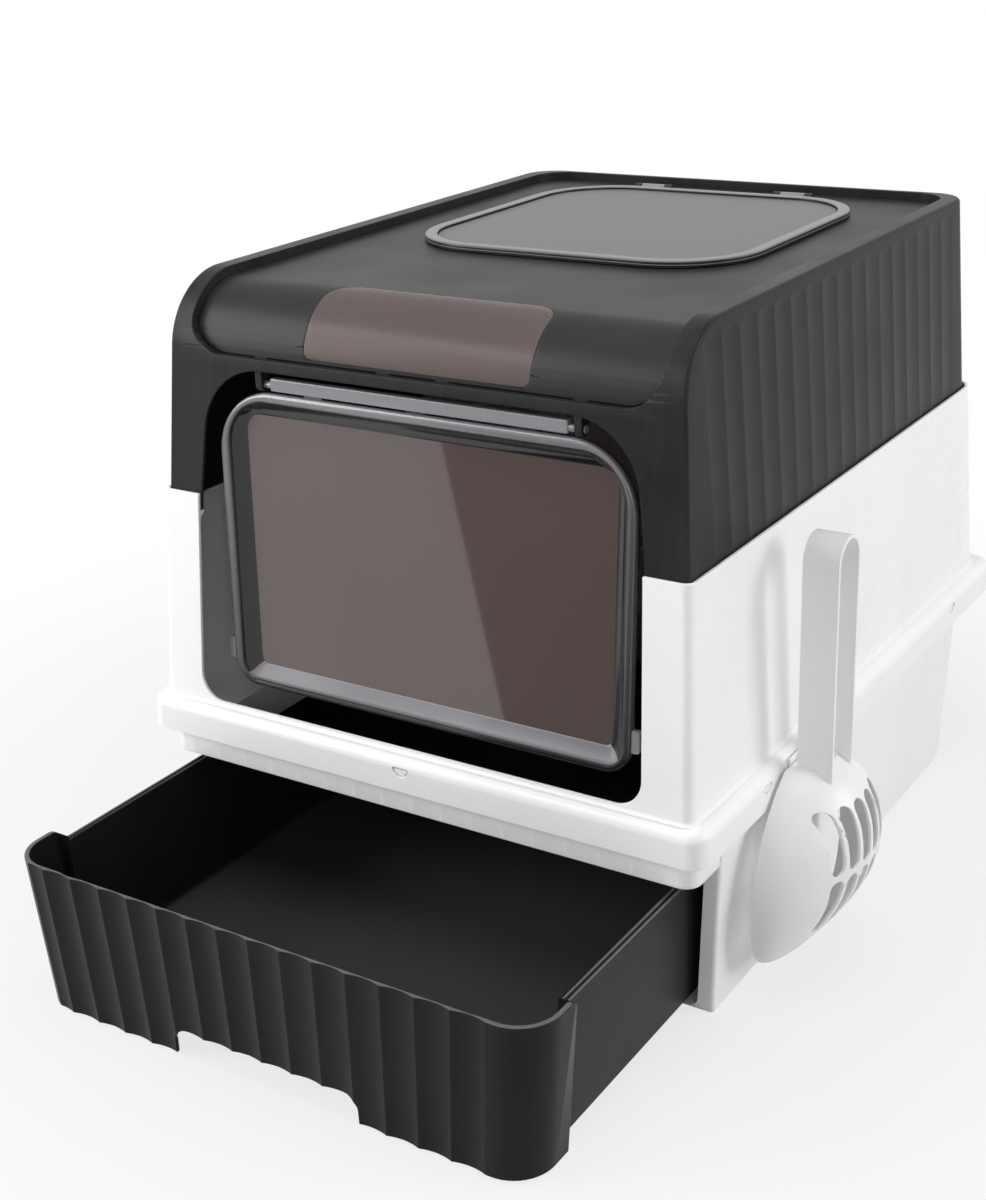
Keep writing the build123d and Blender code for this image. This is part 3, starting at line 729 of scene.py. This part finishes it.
# the rim's section: inset, height over lowZ, and how much painted shade it has: the walls are painted dark, and the
# top and a thin line along the outer wall are left light as painted highlights
rimShape = [
    (0.5, 0, 1), (0, 0.5, 1), (0, 1.9, 1), (0.05, 2.1, 0), (0.05, 2.5, 0), (0, 2.7, 1), (0, 3.7, 1),
    (0.2, 4.3, 0.6), (0.8, 4.8, 0), (1.8, 5, 0), (7.6, 5, 0), (8.5, 4.7, 0), (8.9, 4.2, 1), (9, 0.8, 1),
    (16, 0.8, 1), (16, -3.2, 1), (14, -3.2, 1), (14, 0, 1)]


def hatchRing(z, inset):
    radius = hatch["corner"] - inset
    return planRing(z, hatch["halfW"] - inset, hatch["front"] + inset, hatch["back"] - inset, radius, radius, 20)


def windowSheet(name, margin, outer, inner):
    end = roofPlace(window["back"])
    return browSheet(name, window["halfW"] + margin, window["start"] - margin, end + margin,
                     window["lowR"] + margin, window["topR"] + margin, outer, inner, 16)


def makeRoofPanel():
    sink, thick, corner = panel["sink"], panel["thick"], panel["corner"]
    obj = browSheet("roofPanel", panel["halfW"], panel["start"], roofPlace(panel["back"]), corner, corner,
                    sink, sink + thick, 40)
    carve(obj, addClosed("hatchHole", [hatchRing(z, hatch["holeInset"]) for z in hatch["holeZ"]]))
    carve(obj, windowSheet("windowSeat", window["gap"], sink - window["thick"], sink + window["thick"]))
    carve(obj, windowSheet("windowHole", -window["lip"], sink - 2, sink + thick + 2))
    parts = [obj]
    earW, earDeep = hatch["ear"]
    axisY, axisZ = hatch["axis"]
    front, back, low, top = axisY - earDeep / 2, axisY + earDeep / 2, hatch["earLow"], axisZ + hatch["knuckleR"]
    ear = roundCorners(rectangle(front, back, low, top), (square, square, hatch["earR"], hatch["earR"]), 5)
    for side in (-1, 1):
        for x in (hatch["knuckleX"][0] - earW - hatch["gap"], hatch["knuckleX"][1] + hatch["gap"]):
            parts.append(prism("ear", ear, "x", *mirrored(side, x, x + earW)))
    whole = joined("roofPanel", parts)
    soften(whole, panel["edge"])
    dress(whole, "cover", roofBlack, "roof_panel")


makeRoofPanel()
frontWindow = windowSheet("frontWindow", 0, panel["sink"], panel["sink"] + window["thick"])
soften(frontWindow, window["edge"])
dress(frontWindow, "cover", smokeWindow, "front_window")


def barrel(y, z, low, high, radius, edge=0.4, around=20):
    ends = ((low, radius - edge), (low + edge, radius), (high - edge, radius), (high, radius - edge))
    return addClosed("barrel", [[(x, *p) for p in arcPoints(y, z, r, 0, 360, around)[:-1]] for x, r in ends])


def makeHatch():
    z, armHigh = hatch["lowZ"], hatch["armHigh"]
    rings = [hatchRing(z + height, inset) for inset, height, _ in rimShape]
    parts = [addClosed("lidRim", rings, loop=True)]
    axisY, axisZ = hatch["axis"]
    root = hatch["back"] - hatch["armRoot"]
    for side in (-1, 1):
        span = mirrored(side, *hatch["knuckleX"])
        parts.append(barrel(axisY, axisZ, *span, hatch["knuckleR"]))
        parts.append(prism("arm", rectangle(root, axisY, z, z + armHigh), "x", *span))
    rim = joined("hatchRim", parts)
    # the rim's painted shade, one value for each ring of its section
    storePaintedShading(rim, [dark for _, _, dark in rimShape for _ in rings[0]])
    smooth(rim)
    dress(rim, "hatch", smokeRim, "hatch_rim")
    pane = addClosed("hatchPane", [hatchRing(z + height, inset) for height, inset in hatch["pane"]])
    smooth(pane)
    dress(pane, "hatch", smokeLidPaintedSheen, "hatch_pane")


makeHatch()
print("stage: roof")


# Door flap

flap = {
    "pivot": (-225.5, 382), "lean": 2.9, "topHalfW": 158, "lowHalfW": 155.5, "top": -5.6, "low": -214, "topR": 45,
    "lowR": 20, "pane": (13.7, 9.2), "paneR": (16, 10), "paneSeat": (7.02, 9), "bar": (111, (-3, 3.4), (-3.6, 4.8)),
    "barR": 0.9, "barEnd": (0.7, 0.86), "webs": (-80, 0, 80), "web": (7, 1.6, 3.3), "lug": (5.5, 4, 15, 190),
    "lugR": 2, "edge": 0.3, "lugEdge": 0.4}
# the bezel's section from its back edge over the bead and down the slope: inset, inset at the bottom, depth
bezelShape = [
    (1.2, 1.2, 3.6), (0.2, 0.2, 2.6), (0, 0, -0.2), (0.6, 0.5, -1.4), (1.8, 1.4, -2.2), (3.4, 2.5, -2.4),
    (5.2, 3.6, -2.1), (6.4, 4.4, -1.2), (7, 4.8, 0.2), (7.3, 5, 1.4), (8.4, 5.6, 2), (11, 8.4, 4),
    (14.6, 12, 5.9), (16.6, 13.4, 6.5), (17.5, 14, 7), (13.5, 9, 7), (13.5, 9, 9.4), (11.3, 7, 9.6),
    (10.4, 6.4, 8.8), (5.2, 4.6, 4.2), (4.4, 4.4, 3.6)]
# how much painted shade the bead has at a place round it, counted from the left end of the bottom: painted dark
# along the bottom and up the right, left light over the top and the left
beadPaintedShade = ((0, 0.55), (8, 0.85), (9, 1), (25, 1), (33, 0.85), (34, 0.6), (44, 0.15), (50, 0), (67, 0))


def hang(x, depth, height):
    lean = radians(flap["lean"])
    y = depth * cos(lean) + height * sin(lean)
    z = height * cos(lean) - depth * sin(lean)
    return x, flap["pivot"][0] + y, flap["pivot"][1] + z


def flapRing(inset, lowInset, depth, topR=None, lowR=None):
    low, top = flap["low"] + lowInset, flap["top"] - inset
    lowW, topW = flap["lowHalfW"] - inset, flap["topHalfW"] - inset
    corners = [(-lowW, low), (lowW, low), (topW, top), (-topW, top)]
    topR = topR or max(flap["topR"] - inset * 1.9, 12)
    lowR = lowR or max(flap["lowR"] - inset * 1.1, 5)
    return [hang(p.x, depth, p.y) for p in roundCorners(corners, (lowR, lowR, topR, topR), 16)]


# Painted shade on the bezel: the slope is painted dark, but for its lowest length, which is left light as if it
# catches the light, and so is the back; the bead takes its painted shade from the table above
def bezelPaintedShade(section, place):
    if section < 2 or section > 14:
        return 1
    if section > 7:
        return 0 if 9 <= place <= 25 else 1
    i = next(k for k in range(len(beadPaintedShade) - 1) if place <= beadPaintedShade[k + 1][0])
    (fromPlace, fromDark), (toPlace, toDark) = beadPaintedShade[i], beadPaintedShade[i + 1]
    return fromDark + (toDark - fromDark) * (place - fromPlace) / (toPlace - fromPlace)


def makeFlap():
    parts = [addClosed("bezelRing", [flapRing(*point) for point in bezelShape], loop=True)]
    points = len(parts[0].data.vertices)
    around = points // len(bezelShape)
    width, deep, height, drop = flap["lug"]
    for side in (-1, 1):
        span = mirrored(side, flap["lowHalfW"] - 1.5, flap["lowHalfW"] + width)
        corners = rectangle(*span, -drop - height / 2, -drop + height / 2)
        outline = roundCorners(corners, (flap["lugR"],) * 4, 4)
        rings = [[hang(p.x, depth, p.y) for p in outline] for depth in (-1, deep - 1)]
        parts.append(addClosed("lug", rings))
        soften(parts[-1], flap["lugEdge"])
    bezel = joined("flapBezel", parts)
    # painted shade on the bezel
    storePaintedShading(bezel, [bezelPaintedShade(i // around, i % around) for i in range(points)])
    smooth(bezel)
    dress(bezel, "flap", smokeFrame, "flap_bezel")
    pane = addClosed("flapPane", [flapRing(*flap["pane"], depth, *flap["paneR"]) for depth in flap["paneSeat"]])
    soften(pane, flap["edge"])
    dress(pane, "flap", smokeDoor, "flap_pane")


def makeHingeBar():
    halfW, (front, back), (low, high) = flap["bar"]
    outline = roundCorners(rectangle(front, back, low, high), (flap["barR"],) * 4, 6)
    centre = Vector(((front + back) / 2, (low + high) / 2))
    length, small = flap["barEnd"]
    ends = ((-halfW, small), (-halfW + length, 1), (halfW - length, 1), (halfW, small))
    parts = [addClosed("bar", [[hang(x, *(centre + (p - centre) * share)) for p in outline] for x, share in ends])]
    webHalfW, webFront, webBack = flap["web"]
    for x in flap["webs"]:
        web = rectangle(x - webHalfW, x + webHalfW, flap["top"] - 1, low + 1)
        parts.append(addClosed("web", [[hang(u, depth, v) for u, v in web] for depth in (webFront, webBack)]))
    barPoints = len(parts[0].data.vertices)
    bar = joined("hingeBar", parts)
    # the webs are painted dark as painted shade, so they read as shadowed behind the bar
    storePaintedShading(bar, [0] * barPoints + [1] * (len(bar.data.vertices) - barPoints))
    smooth(bar)
    dress(bar, "flap", smokeFrame, "flap_hinge_bar")


makeFlap()
makeHingeBar()
print("stage: flap")


# Drawer: tray and fluted front, one moulding

# the last value is how much painted light the tray's floor takes
drawer = {
    "trayTop": (103.5, 189.2, -400, 44), "trayFoot": (9.6, 186.6, -400, 42), "trayCorners": (3, 24), "wall": 2.4,
    "lip": (3.2, 2.4), "groove": (1, 2.2), "openBack": -379.6, "frontTop": (109, 199.1, -423.6, -378),
    "frontFoot": (2, 190.4, -420.8, -378), "frontCorners": (27, 2), "frontWall": 3.2, "pitch": 23.9, "flute": 1.9,
    "firstFlute": -179.25, "flutes": 15, "fluteEnd": [(-3, 1), (114, 1)], "toeZ": 30, "toeBack": -386,
    "toeInset": 1.4, "underInset": 3.4, "underR": 23.8, "notch": (71, 20.5, 9), "returnEnd": 9, "edge": 0.6,
    "floorPaintedLight": 0.3}


trayRing = wallRings(drawer["trayFoot"], drawer["trayTop"], drawer["trayCorners"])
frontRing = wallRings(drawer["frontFoot"], drawer["frontTop"], drawer["frontCorners"], 12)


# The fluted front with its two returns, still solid
def drawerFront():
    low, high = drawer["frontFoot"], drawer["frontTop"]
    obj = addClosed("drawerTray", [frontRing(low[0]), frontRing(high[0])])
    taper = (high[1] - low[1]) / (high[0] - low[0]) / high[1]
    wallAt = lambda along, deep, z: (along, level(low, high, z)[2] + deep, z)
    count, first = drawer["flutes"], drawer["firstFlute"]
    carveFlutes(obj, drawer, wallAt, count, drawerBlack, first, cuts=16, taper=taper, height=high[0])
    return obj


# The tray with its lip and a groove along the rim, cut open where it runs into the front
def drawerTray():
    low, high, wall = drawer["trayFoot"][0], drawer["trayTop"][0], drawer["wall"]
    lipOut, lipThick = drawer["lip"]
    deep, wide = drawer["groove"]
    middle = (wall - lipOut) / 2
    shape = [(low, 2), (low + 0.6, 0.6), (low + 2, 0), (high - lipThick, 0), (high - lipThick, -lipOut),
             (high, -lipOut), (high, middle - wide / 2), (high - deep, middle - wide / 2 + 0.3),
             (high - deep, middle + wide / 2 - 0.3), (high, middle + wide / 2), (high, wall),
             (low + wall + 5, wall), (low + wall + 1.5, wall + 1.5), (low + wall, wall + 5)]
    obj = addClosed("tray", [trayRing(z, inset) for z, inset in shape])
    carve(obj, prism("opening", rectangle(-far, far, -2 * far, drawer["openBack"]), "z", below, far / 2))
    return obj


# The room under the front's sloping toe, between the returns
def underToe(inner):
    low, high, wall = drawer["frontFoot"], drawer["frontTop"], drawer["wall"]
    toeZ, trayZ = drawer["toeZ"], drawer["trayFoot"][0]
    front, back = -430, high[3] + 40
    under = prism("under", [(front, below), (front, toeZ + 1.8), (inner, toeZ - wall), (drawer["toeBack"], trayZ),
                            (back, trayZ - 0.01), (back, below)], "x", -far, far)
    box = planRing(-8, low[1] - drawer["underInset"], inner + 0.2, -far, drawer["underR"], 2, arcCuts=12)
    carve(under, addClosed("underEnds", [box, [(x, y, 60) for x, y, _ in box]]), "INTERSECT")
    return under


def makeDrawer():
    low, high, wall = drawer["frontFoot"], drawer["frontTop"], drawer["wall"]
    trayZ, toeZ, toeBack = drawer["trayFoot"][0], drawer["toeZ"], drawer["toeBack"]
    floorZ, inner = trayZ + wall, low[2] + drawer["frontWall"]
    front = drawerFront()
    carve(front, addClosed("trayRoom", [trayRing(z, wall - 0.05) for z in (floorZ, high[0] + 20)]))
    carve(front, addClosed("frontRoom", [frontRing(z, drawer["frontWall"]) for z in (floorZ, high[0] + 1)]))
    carve(front, drawerTray(), "UNION")
    toe = prism("toe", [(toeBack, trayZ), (inner - 1, toeZ), (inner - 1, toeZ + 5), (toeBack, floorZ)],
                "x", -far, far)
    carve(toe, addClosed("toeEnds", [frontRing(z, drawer["toeInset"]) for z in (low[0], high[0])]), "INTERSECT")
    carve(front, toe, "UNION")
    carve(front, underToe(inner))
    halfW, notchHigh, notchR = drawer["notch"]
    notch = roundCorners(rectangle(-halfW, halfW, below, notchHigh), (square, square, notchR, notchR))
    carve(front, prism("notch", notch, "y", -440, inner + 4))
    end, endZ, endR = high[3], high[0], drawer["returnEnd"]
    arc = arcPoints(end - endR, endZ - endR, endR, 90, 0, 10)
    corner = arc + [(end + 2, arc[-1][1]), (end + 2, endZ + 2), (arc[0][0], endZ + 2)]
    kept = [(y, max(z, drawer["trayTop"][0] + 0.02)) for y, z in corner]
    carve(front, prism("returnCorner", kept, "x", -far, far))
    splitConcave(front)
    soften(front, drawer["edge"], angle=44)
    # painted highlight on the rims and painted light on the tray's floor
    storePaintedShading(front, [drawerPaintedLight(v.co.y / mm, v.co.z / mm, floorZ) for v in front.data.vertices])
    dress(front, "drawer", drawerBlack, "drawer_tray")


# Painted light: the rims are painted a little lighter than the walls as a painted highlight, and the tray's floor
# as painted light where little light reaches it
def drawerPaintedLight(y, z, floorZ):
    if abs(z - floorZ) < 0.2:
        return drawer["floorPaintedLight"]
    onTray = z > drawer["trayTop"][0] - 0.3 and y > drawer["trayTop"][2] + 20
    return 1 if onTray or z > drawer["frontTop"][0] - 0.3 else 0


makeDrawer()
print("stage: drawer")


# Scoop

scoop = {
    "y": -127, "rimX": 219.6, "wall": 2.2,
    "levels": ((150.5, 26, 22), (140, 40, 36), (122, 56, 47), (98, 67, 50.5),
               (72, 72.5, 46), (48, 71, 33), (30, 62, 19), (21.5, 46, 9)),
    "slots": 6, "slotPitch": 14.2, "slotDeep": 60, "slotRows": ((91, 132.5, 5.6, 5), (46, 87, 5.5, 4.6)),
    "handleHalfW": 17, "handleX": (224, 248), "handleLow": 143, "bendZ": 288, "strap": 2.8, "edge": 0.6}


# Half width and depth of the bowl at height z, smoothly between the given levels
def bowlSize(z):
    rows = scoop["levels"]
    i = next((k for k in range(len(rows) - 1) if z >= rows[k + 1][0]), len(rows) - 2)
    a, b, c, d = rows[max(i - 1, 0)], rows[i], rows[i + 1], rows[min(i + 2, len(rows) - 1)]
    t = (z - b[0]) / (c[0] - b[0])
    sizes = []
    for k in (1, 2):
        slopeIn = (c[k] - a[k]) / (c[0] - a[0]) * (c[0] - b[0])
        slopeOut = (d[k] - b[k]) / (d[0] - b[0]) * (c[0] - b[0])
        sizes.append((2 * t ** 3 - 3 * t ** 2 + 1) * b[k] + (t ** 3 - 2 * t ** 2 + t) * slopeIn
                     + (3 * t ** 2 - 2 * t ** 3) * c[k] + (t ** 3 - t ** 2) * slopeOut)
    return sizes


def bowlSolid(name, inset, back=0):
    top, low = scoop["levels"][0][0] - inset, scoop["levels"][-1][0] + inset * 0.6
    rimX, y, rows, around = scoop["rimX"], scoop["y"], 46, 40
    rings = []
    for z in spread(low, top, rows):
        halfW, depth = bowlSize(z)
        halfW, depth = halfW - inset, max(depth - inset, 1)
        turns = map(radians, spread(-90, 90, around))
        ring = [(rimX + depth * cos(a), y + halfW * sin(a), z) for a in turns]
        if back:
            ring += [(rimX - back, y + side * halfW, z) for side in (1, -1)]
        rings.append(ring)
    return addClosed(name, rings)


# One slot: a teardrop, wider at its top, pushed through along X
def slotCutter(half, wide, narrow):
    outline = arcPoints(0, narrow - half, narrow, -180, 0, 12) + arcPoints(0, half - wide, wide, 0, 180, 12)
    return prism("slots", outline, "x", 0, scoop["slotDeep"])


def makeScoop():
    bowl = bowlSolid("bowl", 0)
    carve(bowl, bowlSolid("bowlRoom", scoop["wall"], 3))
    count, pitch = scoop["slots"], scoop["slotPitch"]
    for low, high, wide, narrow in scoop["slotRows"]:
        start = (scoop["rimX"] + 10, scoop["y"] - (count - 1) / 2 * pitch, (low + high) / 2)
        cutter = slotCutter((high - low) / 2, wide, narrow)
        carve(bowl, repeat(cutter, scoopWhite, count, (0, pitch, 0), start))
    loop = handleLoop()
    carve(loop, bowlSolid("bowlInside", scoop["wall"] / 2, 3))
    whole = joined("scoopBody", [bowl, loop])
    soften(whole, scoop["edge"], angle=38)
    dress(whole, "scoop", scoopWhite, "scoop")


def handleLoop():
    y, (lowX, highX), low, bend = scoop["y"], scoop["handleX"], scoop["handleLow"], scoop["bendZ"]

    def band(halfW):
        left = [(-halfW, z) for z in spread(low, bend, 12)[:-1]]
        return left + arcPoints(0, bend, halfW, 180, 0, 30) + [(-a, z) for a, z in reversed(left)]
    rings = []
    for (a, za), (b, zb) in zip(band(scoop["handleHalfW"]), band(scoop["handleHalfW"] - scoop["strap"])):
        rings.append([(lowX, y + a, za), (highX, y + a, za), (highX, y + b, zb), (lowX, y + b, zb)])
    return addClosed("handle", rings)


makeScoop()
print("stage: scoop")


# Parts kept from the frame, with their own finish

kept = {
    "drawer_runners": housingWhite, "frame_clips": housingWhite, "scoop_hook": scoopWhite,
    "roof_panel_tabs": roofBlack, "hatch_pins": pinSteel, "flap_brackets": coverBlack, "flap_pins": smokeFrame}
keptEdge = {"width": 0.35, "angle": 50, "weld": 1e-5}
for node, material in kept.items():
    obj = nodes[node]
    paint(obj, material)
    weld = obj.modifiers.new("weld", "WELD")
    weld.merge_threshold = keptEdge["weld"]
    addBevel(obj, keptEdge["width"], keptEdge["angle"])
print("stage: kept parts")


# Stage, light and camera

# fade: the floor's own light grows from 0.72 to 1 between the first and the second distance, in metres
studio = {
    "floorZ": -0.3, "floorSize": 9, "floorColour": (0.6, 0.6, 0.6), "worldLight": 0.32, "fade": (0.25, 0.85, 0.72)}


# A pale matte floor that carries the shadow and turns plain white further out
def makeFloor():
    size = studio["floorSize"] / mm
    floor = addObject("floor", [(x, y, studio["floorZ"]) for x, y in rectangle(-size, size, -size, size)])
    material = bpy.data.materials.new("paleFloor")
    make = emptied(material)
    matte = make.out("ShaderNodeBsdfDiffuse", [(*studio["floorColour"], 1)])
    away = make.add("ShaderNodeVectorMath", [make.objectPlace()], operation="LENGTH").outputs["Value"]
    fade = make.remap(away, *studio["fade"], 1, interpolation_type="SMOOTHSTEP")
    seen = make.math("MULTIPLY", fade, make.backdropRays())
    mix = make.out("ShaderNodeMixShader", [seen, matte, make.whiteGlow(1)])
    make.add("ShaderNodeOutputMaterial", [mix])
    paint(floor, material)


# Two cards over the drawer that only reflections see: their meeting edge is the slanting sheen on the door pane.
# For each, the x of its left and right edge at the foot, the same at the head, and its radiance
cards = {
    "y": -300, "low": 130, "high": 362, "sheenCard": (-235, 20.9, -235, -46.4, 1),
    "shadeCard": (20.9, 160, -46.4, 160, 0)}


def makeCards():
    y, low, high = cards["y"], cards["low"], cards["high"]
    for name in ("sheenCard", "shadeCard"):
        footLeft, footRight, headLeft, headRight, radiance = cards[name]
        card = addObject(name, [(footLeft, y, low), (headLeft, y, high), (headRight, y, high), (footRight, y, low)])
        material = bpy.data.materials.new(name)
        make = emptied(material)
        make.add("ShaderNodeOutputMaterial", [make.whiteGlow(radiance)])
        paint(card, material)
        for rays in ("camera", "diffuse", "shadow", "transmission"):
            setattr(card, "visible_" + rays, False)


def makeWorld():
    world = bpy.data.worlds.new("studio")
    bpy.context.scene.world = world
    make = emptied(world)
    soft, plain = (make.out("ShaderNodeBackground", [(1, 1, 1, 1), strength])
                   for strength in (studio["worldLight"], 1))
    mix = make.out("ShaderNodeMixShader", [make.backdropRays(), soft, plain])
    make.add("ShaderNodeOutputWorld", [mix])


# name: place, aimed at, width, height, power, all in metres and watts
lamps = {
    "keyLight": ((-1.8, -1.6, 0.95), (0, -0.1, 0.25), 1.2, 1.2, 45),
    "topLight": ((0.1, -0.4, 2.4), (0, 0, 0.3), 1.6, 1.6, 22),
    "rightLight": ((2.2, 0.7, 1.1), (0, 0, 0.25), 1.2, 1.2, 28),
    "fillLight": ((1.3, -2.1, 0.9), (0, -0.2, 0.2), 0.8, 0.8, 6),
    "browStrip": ((-1.05, -1.25, 1.5), (0, -0.2, 0.43), 1.5, 0.4, 17)}


def makeLamps():
    for name, (place, aim, width, height, power) in lamps.items():
        light = bpy.data.lights.new(name, "AREA")
        light.shape = "RECTANGLE"
        light.size, light.size_y, light.energy = width, height, power
        lamp = addToScene(name, light)
        lamp.location = place
        lamp.rotation_euler = (Vector(aim) - Vector(place)).to_track_quat("-Z", "Y").to_euler()
        lamp.visible_diffuse = name != "browStrip"      # the strip only shines along the brow


# the place in millimetres, the turns in degrees, the lens for a sensor 36 mm high
camera = {"place": (633.6, -1108.3, 687.25), "yaw": 33.36, "pitch": 21.9, "roll": -2.3, "lens": 54.71}


def makeCamera():
    data = bpy.data.cameras.new("camera")
    data.sensor_width = 36
    data.lens = camera["lens"]
    data.clip_end = 50
    obj = addToScene("camera", data)
    yaw, pitch, roll = (radians(camera[key]) for key in ("yaw", "pitch", "roll"))
    ahead = Vector((-sin(yaw) * cos(pitch), cos(yaw) * cos(pitch), -sin(pitch)))
    right = ahead.cross(Vector((0, 0, 1))).normalized()
    up = right.cross(ahead)
    across = right * cos(roll) + up * sin(roll)
    upward = up * cos(roll) - right * sin(roll)
    rows = [(across[i], upward[i], -ahead[i], camera["place"][i] * mm) for i in range(3)]
    obj.matrix_world = Matrix([*rows, (0, 0, 0, 1)])
    bpy.context.scene.camera = obj


makeFloor()
makeCards()
makeWorld()
makeLamps()
makeCamera()
bpy.context.scene.view_settings.view_transform = "Standard"
print("stage: studio")
